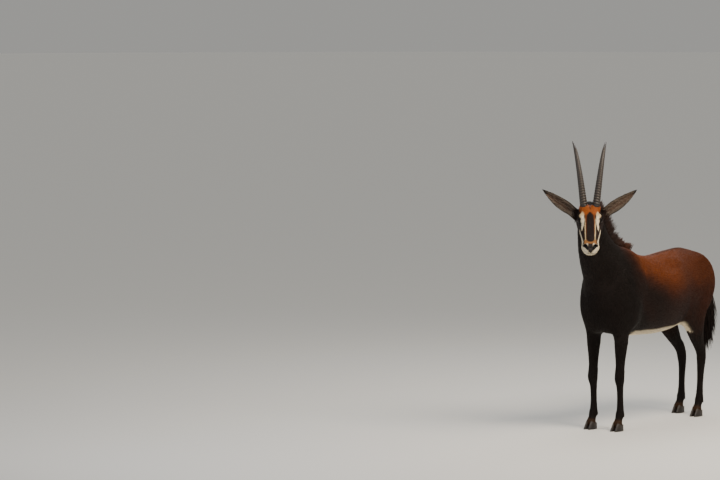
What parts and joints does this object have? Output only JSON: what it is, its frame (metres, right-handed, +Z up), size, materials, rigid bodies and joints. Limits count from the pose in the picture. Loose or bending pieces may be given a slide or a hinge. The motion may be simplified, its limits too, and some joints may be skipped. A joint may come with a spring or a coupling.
{
  "type": "sable antelope",
  "caption": "Life-size still of a sable antelope standing, head turned to its left, long ears held out, ringed horns curving back.",
  "frame": {"origin": "on the ground, at the middle of the bounding box seen from above", "axes": "+Z up, the animal's body faces -Y, its left side is +X; its head is turned toward its left"},
  "size_m": [0.5302, 1.8172, 1.9883],
  "materials": {
    "face_coat": "short hair, black-brown with white face streaks and a rust forehead",
    "black_coat": "short hair, slightly glossy",
    "chestnut_coat": "short smooth hair, satin",
    "dark_brown_coat": "short smooth hair, satin",
    "ear_coat": "fine hair over skin, matte",
    "eye": "wet and glossy",
    "horn": "ringed keratin, satin, smooth at the tips",
    "hoof": "keratin, dull satin"
  },
  "bodies": {
    "root": {"ear_left": "ear_coat", "ear_right": "ear_coat", "eye_left": "eye", "eye_right": "eye", "head": "face_coat", "hoof_front_left_left_claw": "hoof", "hoof_front_left_right_claw": "hoof", "hoof_front_right_left_claw": "hoof", "hoof_front_right_right_claw": "hoof", "hoof_hind_left_left_claw": "hoof", "hoof_hind_left_right_claw": "hoof", "hoof_hind_right_left_claw": "hoof", "hoof_hind_right_right_claw": "hoof", "horn_left": "horn", "horn_right": "horn", "leg_front_left": "black_coat", "leg_front_right": "black_coat", "leg_hind_left": "dark_brown_coat", "leg_hind_right": "dark_brown_coat", "neck": "black_coat", "tail": "black_coat", "trunk": "chestnut_coat"}
  },
  "joints": []
}
